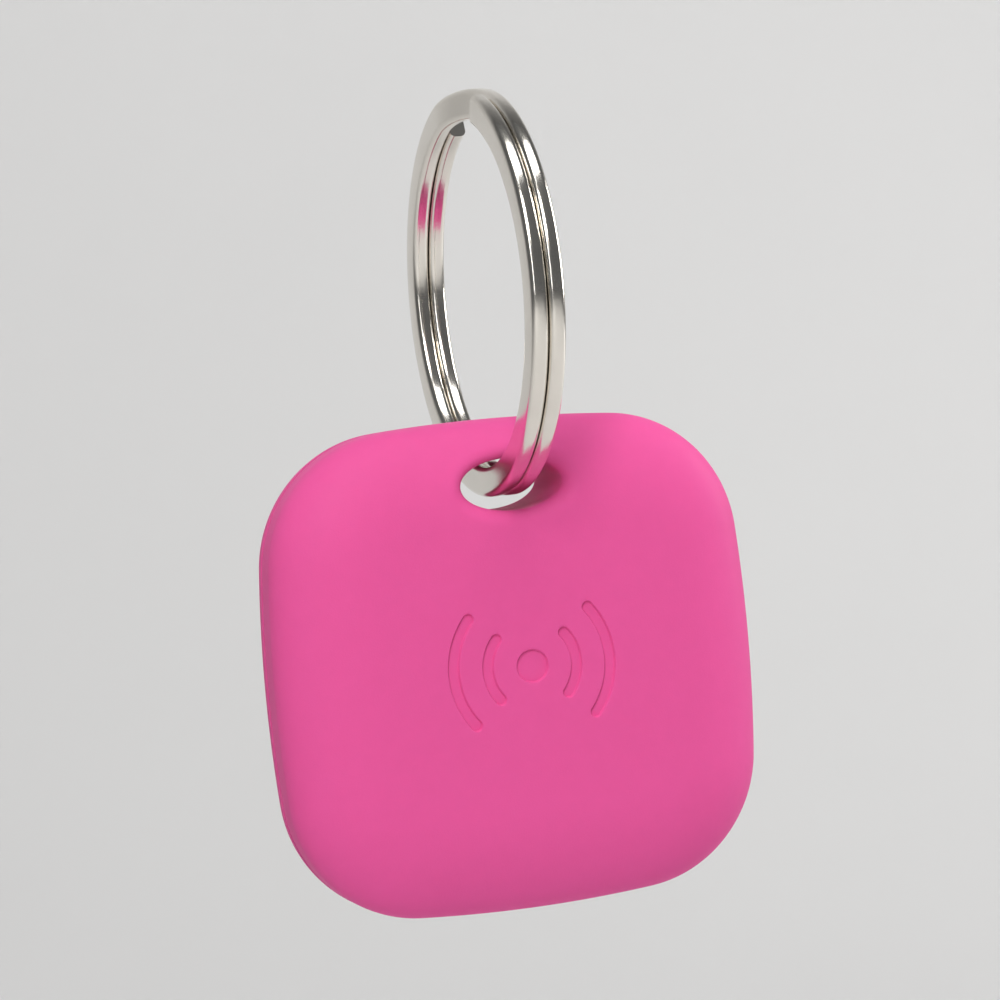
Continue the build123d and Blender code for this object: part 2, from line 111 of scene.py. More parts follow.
class HousingSettings(bpy.types.PropertyGroup):
    """The two moulded covers"""

    plastic: colour("Plastic", "Colour of the moulded covers", (0.80, 0.102, 0.34))
    roughness: factor("Roughness", "How matt the covers are", 0.5)
    frame: colour("Frame plastic", "Colour of the inner frame", (0.045, 0.045, 0.05))
    side_radius: length("Side radius", "Bow of the four sides", 110 * MM)
    corner_radius: length("Corner radius", "Radius of the four corners", 10 * MM)
    front_edge_width: length("Front edge width", "How far the soft front edge reaches in", 7.8 * MM)
    front_edge_depth: length("Front edge depth", "How far the soft front edge goes back", 4.0 * MM)
    front_squareness: number("Front squareness", "2 is round, and more is squarer", 2.1, min=2)
    back_edge_width: length("Back edge width", "How far the soft back edge reaches in", 3.6 * MM)
    back_edge_depth: length("Back edge depth", "How far the soft back edge goes forward", 2.3 * MM)
    back_squareness: number("Back squareness", "2 is round, and more is squarer", 2.2, min=2)
    hole_height: length("Hole height", "Ring hole's centre above the middle of the tag", 13.3 * MM)
    hole_half_width: length("Hole half width", "Half the ring hole's width", 3.9 * MM)
    hole_half_height: length("Hole half height", "Half the ring hole's height", 1.9 * MM)
    hole_lip: length("Hole lip", "Rounding round the ring hole", 1.2 * MM)
    mark_dot: length("Mark's dot", "Radius of the dot in the mark", 1.15 * MM)
    mark_inner_arc: length("Mark's inner arcs", "Radius of the inner arcs", 3.4 * MM)
    mark_outer_arc: length("Mark's outer arcs", "Radius of the outer arcs", 6.0 * MM)
    mark_spread: angle("Mark's spread", "Half the angle that each arc covers", 40)


class RingSettings(bpy.types.PropertyGroup):
    """The split ring"""

    steel: colour("Steel", "Colour of the ring's polished steel", (0.84, 0.80, 0.735))
    inner_radius: length("Inner radius", "Inside radius of the ring", 12.8 * MM)
    wire_width: length("Wire width", "Wire's size across the ring", 2.2 * MM)
    wire_thickness: length("Wire thickness", "Wire's size along the ring's axis", 1.24 * MM)
    wire_edge: length("Wire edge", "Rounding of the wire's four edges", 0.45 * MM)
    turn_gap: length("Turn gap", "Space between the two turns", 0.06 * MM)
    crossover: angle("Crossover", "Stretch where the wire steps across", 34)
    end_gap: angle("End gap", "Space left before each end of the wire", 3)


class PartSettings(bpy.types.PropertyGroup):
    """Small parts inside"""

    screw_head: length("Screw head", "Radius of a screw's head", 1.3 * MM)
    screw_head_height: length("Screw head height", "Height of a screw's head", 0.5 * MM)
    screw_shank: length("Screw shank", "Radius over the thread", 0.68 * MM)
    screw_reach: length("Screw reach", "Length below the head", 2.9 * MM)


class StageSettings(bpy.types.PropertyGroup):
    """Floor, lights and camera"""

    backdrop: colour("Backdrop", "Colour of the floor and backdrop", (0.70, 0.70, 0.70))
    azimuth: angle("Azimuth", "Where the camera stands round the tag", -18)
    elevation: angle("Elevation", "Camera's height above the tag's middle", 2)
    roll: angle("Roll", "How far the tag leans in the picture", 5)
    lens: number("Lens", "Focal length in millimetres", 110)


def settings(name):
    return getattr(bpy.context.scene, name)


# Materials


class Tree:
    """A node tree in the making."""

    def __init__(self, tree):
        self.nodes, self.links = tree.nodes, tree.links

    def add(self, kind, *values, **properties):
        """A node with its inputs given in order. None leaves one at its default."""
        node = self.nodes.new(kind)
        for key, value in properties.items():
            setattr(node, key, value)
        for socket, value in zip([s for s in node.inputs if s.enabled], values):
            if isinstance(value, (bpy.types.NodeSocket, bpy.types.Node)):
                self.link(value, socket)
            elif value is not None:
                socket.default_value = value
        return node

    def link(self, source, target):
        self.links.new(source.outputs[0] if isinstance(source, bpy.types.Node) else source, target)

    def math(self, operation, *values):
        return self.add("ShaderNodeMath", *values, operation=operation)

    def vector(self, *values):
        return self.add("ShaderNodeCombineXYZ", *values)


class Finish(Tree):
    """A material in the making: a Principled shader and the patterns that feed it."""

    def __init__(self, name, base, roughness, metallic=0.0):
        self.material = bpy.data.materials.new(name)
        self.material.use_nodes = True
        super().__init__(self.material.node_tree)
        self.shader = self.nodes["Principled BSDF"].inputs
        self.base = tuple(base)
        self.set(Base_Color=(*base, 1), Roughness=roughness, Metallic=metallic)
        self.coords = self.add("ShaderNodeTexCoord").outputs["Object"]

    def set(self, **values):
        for label, value in values.items():
            self.shader[label.replace("_", " ")].default_value = value

    def stretched(self, *scale):
        """Object coordinates, each times a factor."""
        return self.add("ShaderNodeMapping", self.coords, None, None, scale)

    def noise(self, cell, detail=3, roughness=0.5, vector=None):
        """Noise whose lumps are about cell metres across."""
        where = vector or self.coords
        return self.add("ShaderNodeTexNoise", where, 1 / cell, detail, roughness).outputs["Fac"]

    def cells(self, cell, feature="F1", metric="EUCLIDEAN"):
        where = self.coords
        return self.add("ShaderNodeTexVoronoi", where, 1 / cell, feature=feature, distance=metric)

    def axes(self):
        return self.add("ShaderNodeSeparateXYZ", self.coords).outputs

    def radius(self, across, up):
        squares = [self.math("MULTIPLY", value, value) for value in (across, up)]
        return self.math("SQRT", self.math("ADD", *squares))

    def average(self, first, second):
        return self.math("MULTIPLY", self.math("ADD", first, second), 0.5)

    def spread(self, pattern, low, high, from_low=0.0, from_high=1.0):
        return self.add("ShaderNodeMapRange", pattern, from_low, from_high, low, high)

    def mix(self, share, first, second):
        """A colour between two, by a pattern. Each may be a colour or another mix."""
        ends = [(*end, 1) if isinstance(end, tuple) else end for end in (first, second)]
        node = self.add("ShaderNodeMix", share, *ends, data_type="RGBA")
        return next(socket for socket in node.outputs if socket.enabled)

    def shade(self, share, darker, lighter):
        """The base colour made a little darker and lighter by a pattern."""
        low = tuple(c * darker for c in self.base)
        high = tuple(min(1, c * lighter) for c in self.base)
        return self.mix(share, low, high)

    def tint(self, pattern, darker, lighter):
        self.paint(self.shade(pattern, darker, lighter))

    def paint(self, picture):
        self.link(picture, self.shader["Base Color"])

    def gloss(self, pattern, low, high):
        self.link(self.spread(pattern, low, high), self.shader["Roughness"])

    def relief(self, *layers):
        """Bumps. Each layer is (pattern, height in metres)."""
        strength, normal = 1, None
        for pattern, height in layers:
            normal = self.add("ShaderNodeBump", strength, height, None, pattern, normal)
        self.link(normal, self.shader["Normal"])


def moulded_plastic(name, base, roughness, grain=0.12 * MM, depth=0.004 * MM):
    """Matt plastic from a spark-eroded mould: fine even grain, faint clouding in the gloss."""
    made = Finish(name, base, roughness)
    grains = made.cells(grain)
    fine = made.noise(grain * 0.6, detail=4, roughness=0.6)
    clouds = made.noise(6 * MM, detail=3)
    made.tint(made.noise(1.4 * MM, detail=5, roughness=0.65), 0.965, 1.03)
    made.gloss(clouds, roughness - 0.05, roughness + 0.06)
    made.relief((grains, depth), (fine, depth * 0.8))
    return made


def soft_touch_plastic():
    house = settings("tag_housing")
    made = moulded_plastic("soft_touch_pink", house.plastic, house.roughness)
    made.set(Subsurface_Weight=0.12, Subsurface_Radius=(1.0, 0.35, 0.5), Subsurface_Scale=0.6 * MM)
    made.set(Specular_IOR_Level=0.06)
    return made.material


def polished_steel():
    """Nickel-bright spring steel with hairlines along the wire and a few rubbed patches."""
    ring = settings("tag_ring")
    made = Finish("polished_ring_steel", ring.steel, 0.14, metallic=1.0)
    squeeze, stretch = 14, 0.004
    x, y, z = made.axes()
    height = made.math("ADD", z, ring.inner_radius)
    radius, turn = made.radius(y, height), made.math("ARCTAN2", height, y)
    scales = ((x, squeeze), (radius, squeeze), (turn, stretch))
    along = made.vector(*[made.math("MULTIPLY", value, scale) for value, scale in scales])
    hairlines = made.noise(1.1 * MM, detail=4, roughness=0.7, vector=along)
    patches = made.noise(2.6 * MM, detail=4, roughness=0.6)
    made.tint(patches, 0.90, 1.06)
    made.gloss(made.average(hairlines, patches), 0.06, 0.26)
    made.relief((hairlines, 0.004 * MM), (made.noise(0.5 * MM, detail=2), 0.004 * MM))
    return made.material


def metal(name, base, roughness, stretch=(1, 1, 1), cell=0.25 * MM, depth=0.002 * MM):
    """Rolled or plated sheet, with its grain drawn out along the axes that stretch makes small."""
    made = Finish(name, base, roughness, metallic=1.0)
    drawn = made.noise(cell, detail=4, roughness=0.6, vector=made.stretched(*stretch))
    stains = made.noise(3 * MM, detail=3)
    made.tint(stains, 0.88, 1.05)
    made.gloss(drawn, roughness - 0.08, roughness + 0.1)
    made.relief((drawn, depth))
    return made.material


def middle(node):
    low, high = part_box(node)
    return (low + high) / 2


def turned_metal(name, base, roughness, node):
    """Pressed round metal, with faint circles about the centre of a node."""
    centre = middle(node)
    made = Finish(name, base, roughness, metallic=1.0)
    x, _, z = made.axes()
    radius = made.radius(made.math("SUBTRACT", x, centre.x), made.math("SUBTRACT", z, centre.z))
    circles = made.noise(0.12 * MM, detail=4, roughness=0.7, vector=made.vector(radius))
    stains = made.noise(4 * MM, detail=4)
    made.tint(stains, 0.9, 1.05)
    made.gloss(made.average(circles, stains), roughness - 0.08, roughness + 0.1)
    made.relief((circles, 0.0015 * MM))
    return made.material


def rubber(name, base, roughness=0.62):
    """Moulded silicone: even, slightly see-through, with dust caught on it."""
    made = moulded_plastic(name, base, roughness, grain=0.09 * MM, depth=0.002 * MM)
    made.set(Subsurface_Weight=0.3, Subsurface_Scale=0.4 * MM)
    return made.material


def foam():
    """Open-cell foam: small pores with painted shade in them, between pale walls."""
    made = Finish("pad_foam", (0.055, 0.055, 0.06), 0.95)
    pores = made.cells(0.16 * MM)
    lumps = made.noise(0.8 * MM, detail=3)
    # painted shade: the tint darkens the base towards each pore's middle and lightens it on the walls
    # between pores
    made.tint(made.spread(pores, 0, 1, 0.15, 0.6), 0.35, 1.5)
    made.relief((pores, 0.05 * MM), (lumps, 0.02 * MM))
    return made.material


def film(name, base, roughness, fibre=0.08 * MM):
    """Thin sheet of glue or felted film, with fine fibres running every way."""
    made = Finish(name, base, roughness)
    first = made.noise(fibre, detail=4, vector=made.stretched(1, 1, 0.12))
    second = made.noise(fibre, detail=4, vector=made.stretched(0.12, 1, 1))
    fibres = made.average(first, second)
    made.tint(fibres, 0.86, 1.1)
    made.gloss(fibres, roughness - 0.1, roughness + 0.1)
    made.relief((fibres, 0.004 * MM))
    return made.material


def pressed_powder(name, base, metallic=0.0):
    """Pressed powder or soft metal: coarse grains and pits."""
    made = Finish(name, base, 0.8, metallic=metallic)
    grains = made.cells(0.1 * MM)
    clumps = made.noise(0.7 * MM, detail=5, roughness=0.7)
    made.tint(clumps, 0.7, 1.2)
    made.gloss(grains, 0.6, 0.95)
    made.relief((grains, 0.012 * MM), (clumps, 0.01 * MM))
    return made.material


def fired_ceramic(name, base, roughness, cell=0.05 * MM):
    """Fired ceramic or ferrite: fine speckle with a dull sheen."""
    made = Finish(name, base, roughness)
    speckle = made.noise(cell, detail=5, roughness=0.75)
    made.tint(speckle, 0.8, 1.15)
    made.gloss(made.noise(0.5 * MM), roughness - 0.1, roughness + 0.1)
    made.relief((speckle, 0.003 * MM))
    return made.material


def solder_mask(low, high):
    """Circuit board: dark mask over copper tracks, plated holes, and bare laminate at the edges."""
    made = Finish("board_laminate", (0.012, 0.035, 0.022), 0.4)
    _, y, _ = made.axes()
    pitch, thick = 1.3 * MM, high.y - low.y
    nearest, second = (made.cells(pitch, feature=order, metric="MANHATTAN") for order in ("F1", "F2"))
    tracks = made.spread(made.math("SUBTRACT", second, nearest), 1, 0, 0.10, 0.14)
    holes = made.spread(made.cells(1.7 * MM), 1, 0, 0.10, 0.12)
    weave = made.noise(0.2 * MM, detail=2, vector=made.stretched(1, 8, 1))
    mask = made.mix(tracks, made.base, (0.024, 0.075, 0.045))
    mask = made.mix(holes, mask, (0.72, 0.55, 0.25))
    depth = made.math("ABSOLUTE", made.math("SUBTRACT", y, (low.y + high.y) / 2))
    skin = made.spread(depth, 0, 1, 0.485 * thick, 0.495 * thick)
    laminate = made.mix(weave, (0.30, 0.26, 0.13), (0.42, 0.37, 0.20))
    made.paint(made.mix(skin, laminate, mask))
    made.gloss(made.noise(2 * MM), 0.3, 0.5)
    made.relief((tracks, 0.02 * MM), (weave, 0.003 * MM))
    return made.material


def moulded_epoxy(node):
    """Chip package: matt black epoxy with a dimple by its first pin."""
    low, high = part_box(node)
    made = Finish("chip_epoxy_" + node, (0.018, 0.018, 0.02), 0.55)
    inset = 0.55 * MM
    x, _, z = made.axes()
    across, up = made.math("SUBTRACT", x, low.x + inset), made.math("SUBTRACT", z, high.z - inset)
    dimple = made.spread(made.radius(across, up), 1, 0, 0.17 * MM, 0.21 * MM)
    grains = made.noise(0.05 * MM, detail=4)
    made.paint(made.mix(dimple, made.shade(grains, 0.75, 1.3), (0.05, 0.05, 0.052)))
    made.gloss(grains, 0.45, 0.7)
    made.relief((grains, 0.004 * MM), (dimple, -0.03 * MM))
    return made.material


def printed_antenna():
    """White ceramic block with a printed silver track going to and fro along it."""
    low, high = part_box("chip_antenna")
    made = Finish("antenna_ceramic", (0.62, 0.64, 0.66), 0.35)
    x, _, z = made.axes()
    wave = made.math("SINE", made.math("MULTIPLY", x, math.tau / (0.9 * MM)))
    middle = made.math("SUBTRACT", z, (low.z + high.z) / 2)
    off = made.math("ABSOLUTE", made.math("SUBTRACT", middle, made.math("MULTIPLY", wave, 0.55 * MM)))
    track = made.spread(off, 1, 0, 0.22 * MM, 0.26 * MM)
    speckle = made.noise(0.06 * MM, detail=4)
    made.paint(made.mix(track, made.shade(speckle, 0.9, 1.05), (0.45, 0.44, 0.42)))
    made.gloss(speckle, 0.25, 0.45)
    made.relief((track, 0.01 * MM), (speckle, 0.002 * MM))
    return made.material


# Geometry Nodes


class Recipe(Tree):
    """A Geometry Nodes tree in the making, with named inputs."""

    KINDS = {float: "Float", int: "Int"}

    def __init__(self, name, **inputs):
        self.group = bpy.data.node_groups.new(name, "GeometryNodeTree")
        super().__init__(self.group)
        self.socket("Geometry", "Geometry")
        for label, value in inputs.items():
            self.socket(label, self.KINDS.get(type(value), "Object")).default_value = value
        self.socket("Material", "Material")
        self.socket("Geometry", "Geometry", "OUTPUT")
        self.given = self.add("NodeGroupInput").outputs

    def socket(self, label, kind, way="INPUT"):
        label, kind = label.replace("_", " "), "NodeSocket" + kind
        return self.group.interface.new_socket(label, in_out=way, socket_type=kind)

    def finish(self, geometry):
        """Ends the tree in Realize Instances and Set Material."""
        whole = self.add("GeometryNodeRealizeInstances", geometry)
        painted = self.add("GeometryNodeSetMaterial", whole, None, self.given["Material"])
        self.add("NodeGroupOutput", painted)
        return self.group


def grown(name, group, material, mesh=None, **values):
    """A plain mesh made by a Geometry Nodes tree with these inputs."""
    made = add_object(name, mesh or bpy.data.meshes.new(name))
    modifier = made.modifiers.new("Recipe", "NODES")
    modifier.node_group = group
    values = {label.replace("_", " "): value for label, value in values.items()}
    values["Material"] = material
    for item in group.interface.items_tree:
        if item.in_out == "INPUT" and item.name in values:
            modifier[item.identifier] = values.pop(item.name)
    if values:
        raise RuntimeError(f"{name}: the recipe has no input named {sorted(values)}")
    settle(made)
    if not made.data.polygons:
        raise RuntimeError(f"{name}: the recipe made nothing")
    return made


# Shapes


class Outline:
    """The housing's outline: four bowed sides, joined by four corner arcs that meet them smoothly."""

    def __init__(self):
        house = settings("tag_housing")
        self.side, self.corner = house.side_radius, house.corner_radius
        # How far the sides' centres lie behind the middle, and where a corner's centre is
        self.back_x = self.side - (TAG_HIGH.x - TAG_LOW.x) / 2
        self.back_z = self.side - (TAG_HIGH.z - TAG_LOW.z) / 2
        apart = math.hypot(self.back_x, self.back_z)
        rise = math.sqrt((self.side - self.corner) ** 2 - (apart / 2) ** 2)
        self.corner_x = -self.back_x / 2 + rise * self.back_z / apart
        self.corner_z = -self.back_z / 2 + rise * self.back_x / apart
        self.low = math.atan2(self.corner_z, self.corner_x + self.back_x)
        self.high = math.atan2(self.corner_z + self.back_z, self.corner_x)

    def arcs(self):
        """Each arc as centre, radius, start, end and the signs that put it in its quarter."""
        arcs = []
        for quarter in range(4):
            flip_x = -1 if quarter in (1, 2) else 1
            flip_z = -1 if quarter in (2, 3) else 1
            row = [
                (-self.back_x, 0, self.side, 0, self.low),
                (self.corner_x, self.corner_z, self.corner, self.low, self.high),
                (0, -self.back_z, self.side, self.high, math.pi / 2),
            ]
            if quarter % 2:
                row = [(x, z, radius, end, start) for x, z, radius, start, end in reversed(row)]
            arcs += [(x * flip_x, z * flip_z, *rest, flip_x, flip_z) for x, z, *rest in row]
        return arcs

    def points(self, count, inset):
        """Evenly spaced points, moved in by inset. Anticlockwise from the front's right."""
        arcs = self.arcs()
        lengths = [abs(end - start) * radius for _, _, radius, start, end, _, _ in arcs]
        total = sum(lengths)
        points = []
        for i in range(count):
            left = total * i / count
            for (x, z, radius, start, end, flip_x, flip_z), size in zip(arcs, lengths):
                if left <= size:
                    break
                left -= size
            across, up = on_circle(radius - inset, start + (end - start) * min(1, left / size))
            points.append((x + flip_x * across, z + flip_z * up))
        return points

    def inside(self, x, z):
        """How far a point on the face lies inside the outline."""
        x, z = abs(x), abs(z)
        turn = math.atan2(z - self.corner_z, x - self.corner_x)
        if self.low <= turn <= self.high:
            return self.corner - math.hypot(x - self.corner_x, z - self.corner_z)
        return self.side - max(math.hypot(x + self.back_x, z), math.hypot(x, z + self.back_z))


def soft_edge(distance, width, depth, squareness):
    """Depth of a soft rounded edge this far in from the outline."""
    if distance >= width:
        return 0.0
    share = 1 - max(0.0, distance) / width
    return depth * (1 - (1 - share**squareness) ** (1 / squareness))


def pillow_form(name, rays=384, steps=84):
    """The outside of both covers as one closed form, with soft edges and the ring hole's rounded lips.

    Rays run from the hole to the outline. The form is smaller than the CAD covers by shave.
    """
    house, outline = settings("tag_housing"), Outline()
    shave = 0.02 * MM
    half_w, half_h = house.hole_half_width + shave / 2, house.hole_half_height + shave / 2
    thickness = BACK_FACE - FRONT_FACE - shave
    sides = [
        (house.front_edge_width, house.front_edge_depth, house.front_squareness),
        (house.back_edge_width, house.back_edge_depth, house.back_squareness),
    ]
    points, faces = [], []
    for dx, dz in outline.points(rays, shave):
        dz -= house.hole_height
        size = math.hypot(dx, dz)
        dx, dz = dx / size, dz / size
        start = 1 / math.hypot(dx / half_w, dz / half_h)
        column = []
        for j in range(steps + 1):
            along = start + (size - start) * (1 - math.cos(math.pi * j / steps)) / 2
            x, up = along * dx, along * dz
            curl = lip_depth(x, up, half_w, half_h, house.hole_lip)
            inside = 0.0 if j == steps else outline.inside(x, up + house.hole_height) - shave
            depths = [soft_edge(inside, *side) + curl for side in sides]
            column.append((x, up + house.hole_height, depths))
        points += [(x, front, up) for x, up, (front, _) in column]
        points += [(x, thickness - back, up) for x, up, (_, back) in reversed(column)]
    row = 2 * (steps + 1)
    for i in range(rays):
        ahead = (i + 1) % rays
        for j in range(row):
            k = (j + 1) % row
            faces.append((i * row + j, i * row + k, ahead * row + k, ahead * row + j))
    return mesh_of(name, points, faces, (0, FRONT_FACE + shave / 2, TAG_CENTRE.z))


def lip_depth(x, up, half_w, half_h, lip):
    """Depth of the ring hole's rounded lip at a point counted from the hole's centre."""
    ratio = math.hypot(x / half_w, up / half_h)
    slope = math.hypot(x / half_w**2, up / half_h**2) / ratio
    off_hole = min(lip, max(0.0, (ratio - 1) / slope))
    return lip - math.sqrt(max(0.0, lip**2 - (lip - off_hole) ** 2))


def mesh_of(name, points, faces, move=None):
    mesh = bpy.data.meshes.new(name)
    mesh.from_pydata(points, [], faces)
    if move:
        mesh.transform(Matrix.Translation(move))
    return mesh


def on_circle(radius, turn):
    return radius * math.cos(turn), radius * math.sin(turn)


def add_object(name, mesh):
    made = bpy.data.objects.new(name, mesh)
    bpy.context.scene.collection.objects.link(made)
    return made


def merged_copy(node):
    """A copy of a CAD node's mesh with its loose triangles joined up."""
    mesh = NODES[node].data.copy()
    if "custom_normal" in mesh.attributes:
        mesh.attributes.remove(mesh.attributes["custom_normal"])
    made = add_object(node + "_copy", mesh)
    weld = made.modifiers.new("Weld", "WELD")
    weld.merge_threshold = 0.0005 * MM
    return settle(made)


def settle(made):
    """The object with its modifiers applied."""
    graph = bpy.context.evaluated_depsgraph_get()
    mesh = bpy.data.meshes.new_from_object(made.evaluated_get(graph), depsgraph=graph)
    mesh.name = made.name
    made.modifiers.clear()
    made.data = mesh
    return made


def smooth(made, degrees, weighted=True):
    """Smooth shading with sharp edges where faces meet at more than this angle."""
    made.data.shade_smooth()
    made.data.set_sharp_from_angle(angle=math.radians(degrees))
    if weighted:
        even = made.modifiers.new("Weighted normals", "WEIGHTED_NORMAL")
        even.keep_sharp = True
        settle(made)
    return made


def dress(made, material, body, *nodes, slot=None):
    """Gives a finished piece its material and its place in the frame."""
    made.data.materials.clear()
    made.data.materials.append(material)
    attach(made, body)
    if nodes:
        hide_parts(*nodes)
    return made


def repaint(material, *nodes):
    """A better material on CAD nodes."""
    for node in nodes:
        NODES[node].data.materials.clear()
        NODES[node].data.materials.append(material)


def cut(made, tool, operation, least=1000):
    """Boolean of two closed meshes. The tool is used up."""
    step = made.modifiers.new("Cut", "BOOLEAN")
    step.operation = operation
    step.solver = "EXACT"
    step.object = tool
    settle(made)
    bpy.data.objects.remove(tool)
    if len(made.data.polygons) < least:
        raise RuntimeError(f"{made.name}: the cut failed")
    return mend(made)


def mend(made):
    """Merges doubles, drops slivers and fills the pinholes that a cut can leave."""
    whole = bmesh.new()
    whole.from_mesh(made.data)
    reach = 0.0003 * MM
    bmesh.ops.remove_doubles(whole, verts=whole.verts, dist=reach)
    bmesh.ops.dissolve_degenerate(whole, edges=whole.edges, dist=reach)
    bmesh.ops.holes_fill(whole, edges=[edge for edge in whole.edges if edge.is_boundary], sides=6)
    whole.to_mesh(made.data)
    whole.free()
    return made


def shell(node, name):
    """A CAD cover cut to the soft outer form."""
    made = cut(merged_copy(node), add_object("form", pillow_form("form")), "INTERSECT")
    made.name = made.data.name = name
    return made


# Rounding of the mark's groove: (depth, half width) in mm, from above the face down to the floor
GROOVE = [
    (-0.20, 0.58), (0.0, 0.50), (0.015, 0.455), (0.05, 0.425),
    (0.15, 0.405), (0.21, 0.38), (0.245, 0.34),
]
# What the dot's radius is counted from
DOT_HALF_WIDTH = 0.36 * MM


def stroke_tool(radius, middle_degrees, half_degrees, parts=40, dot_sides=64):
    """A closed tool for one rounded stroke of the mark, along an arc or, with no arc, a dot."""
    first = math.radians(middle_degrees - half_degrees)
    last = math.radians(middle_degrees + half_degrees)
    line = [first + (last - first) * i / parts for i in range(parts + 1)] if half_degrees else []
    rings = []
    for depth, half in GROOVE:
        half, ring = half * MM, []
        if line:
            ring += [on_circle(radius + half, t) for t in line]
            ring += rounded_end(radius, last, half, 0)
            ring += [on_circle(radius - half, t) for t in reversed(line)]
            ring += rounded_end(radius, first, half, math.pi)
        else:
            size = radius + half - DOT_HALF_WIDTH
            ring = [on_circle(size, math.tau * i / dot_sides) for i in range(dot_sides)]
        rings.append([(x, depth * MM, z) for x, z in ring])
    count = len(rings[0])
    points = [p for ring in rings for p in ring]
    faces = [tuple(range(count)), tuple(reversed(range(len(points) - count, len(points))))]
    for level in range(len(rings) - 1):
        for i in range(count):
            j = (i + 1) % count
            row, after = level * count, (level + 1) * count
            faces.append((row + j, row + i, after + i, after + j))
    return points, faces


def rounded_end(radius, turn, half, side, parts=12):
    """Points of the half circle that ends a stroke."""
    x, z = on_circle(radius, turn)
    steps = [on_circle(half, turn + side + math.pi * i / parts) for i in range(1, parts)]
    return [(x + dx, z + dz) for dx, dz in steps]


def mark_tool():
    """Everything that the mark takes out of the face: a dot with two arcs on each side."""
    house = settings("tag_housing")
    points, faces = [], []
    strokes = [(house.mark_dot, 0, 0)]
    for radius in (house.mark_inner_arc, house.mark_outer_arc):
        strokes += [(radius, middle, math.degrees(house.mark_spread)) for middle in (0, 180)]
    for stroke in strokes:
        more_points, more_faces = stroke_tool(*stroke)
        faces += [tuple(i + len(points) for i in face) for face in more_faces]
        points += more_points
    return add_object("mark_tool", mesh_of("mark_tool", points, faces, (0, FRONT_FACE, TAG_CENTRE.z)))


class Step:
    """What the operators share: each one builds its pieces in make()."""

    def execute(self, context):
        self.make()
        return {"FINISHED"}


class MakeFrontCover(Step, bpy.types.Operator):
    """Front cover: soft pillow edges, the ring hole and the pressed-in mark"""

    bl_idname = "tracker_tag.front_cover"
    bl_label = "Front cover"

    def make(self):
        cover = cut(shell("front_cover", "front_shell"), mark_tool(), "DIFFERENCE")
        smooth(cover, COVER_SMOOTH)
        dress(cover, soft_touch_plastic(), "front", "front_cover", slot="cover_plastic")


class MakeBackCover(Step, bpy.types.Operator):
    """Back cover: soft edges, notch for the boss, adhesive seat and plug-in rib"""

    bl_idname = "tracker_tag.back_cover"
    bl_label = "Back cover"

    def make(self):
        cover = smooth(shell("back_cover", "back_shell"), COVER_SMOOTH)
        dress(cover, bpy.data.materials["soft_touch_pink"], "rear", "back_cover", slot="cover_plastic")


def wound_wire_recipe():
    """Flat wire wound in two turns, stepping across from one to the other at the top."""
    made = Recipe(
        "Wound wire", Inner_radius=0.0, Wire_width=0.0, Wire_thickness=0.0, Wire_edge=0.0,
        Turn_gap=0.0, Crossover=0.0, End_gap=0.0, Steps=720,
    )
    given, do = made.given, made.math
    half = do("MULTIPLY", given["Crossover"], 0.5)
    turn = do("SUBTRACT", do("SUBTRACT", math.tau, given["Crossover"]), given["End gap"])
    begin = do("SUBTRACT", do("SUBTRACT", math.pi / 2, half), turn)
    whole = do("ADD", do("MULTIPLY", turn, 2.0), given["Crossover"])
    share = made.add("GeometryNodeSplineParameter").outputs["Factor"]
    at = do("MULTIPLY_ADD", share, whole, begin)
    lane = do("MULTIPLY", do("ADD", given["Wire thickness"], given["Turn gap"]), 0.5)
    low, high = do("SUBTRACT", math.pi / 2, half), do("ADD", math.pi / 2, half)
    shift = made.add(
        "ShaderNodeMapRange", at, low, high, do("MULTIPLY", lane, -1.0), lane,
        interpolation_type="SMOOTHSTEP",
    )
    radius = do("MULTIPLY_ADD", given["Wire width"], 0.5, given["Inner radius"])
    cosine, sine = do("COSINE", at), do("SINE", at)
    place = made.vector(shift, do("MULTIPLY", cosine, radius), do("MULTIPLY", sine, radius))
    path = made.add("GeometryNodeCurvePrimitiveLine")
    path = made.add("GeometryNodeResampleCurve", path, None, given["Steps"])
    path = made.add("GeometryNodeSetPosition", path, None, place)
    outward = made.vector(0.0, cosine, sine)
    path = made.add("GeometryNodeSetCurveNormal", path, None, outward, mode="FREE")
    wire = given["Wire width"], given["Wire thickness"]
    section = made.add("GeometryNodeCurvePrimitiveQuadrilateral", *wire)
    section = made.add("GeometryNodeFilletCurve", section, 6, given["Wire edge"], mode="POLY")
    wound = made.add("GeometryNodeCurveToMesh", path, section, None, True)
    drop = made.vector(0.0, 0.0, do("MULTIPLY", given["Inner radius"], -1.0))
    return made.finish(made.add("GeometryNodeTransform", wound, drop))


class MakeSplitRing(Step, bpy.types.Operator):
    """Split ring: two turns of flat polished wire"""

    bl_idname = "tracker_tag.split_ring"
    bl_label = "Split ring"

    def make(self):
        ring = settings("tag_ring")
        steel = polished_steel()
        made = grown(
            "wound_ring", wound_wire_recipe(), steel,
            Inner_radius=ring.inner_radius, Wire_width=ring.wire_width,
            Wire_thickness=ring.wire_thickness, Wire_edge=ring.wire_edge,
            Turn_gap=ring.turn_gap, Crossover=ring.crossover, End_gap=ring.end_gap,
        )
        smooth(made, WIRE_SMOOTH, weighted=False)
        dress(made, steel, "ring", "split_ring", slot="ring_steel")


def set_out_recipe():
    """The piece it is given, set out at each point of another mesh."""
    made = Recipe("Set out", Places=None)
    places = made.add("GeometryNodeObjectInfo", made.given["Places"]).outputs["Geometry"]
    placed = made.add("GeometryNodeInstanceOnPoints", places, None, made.given["Geometry"])
    return made.finish(placed)


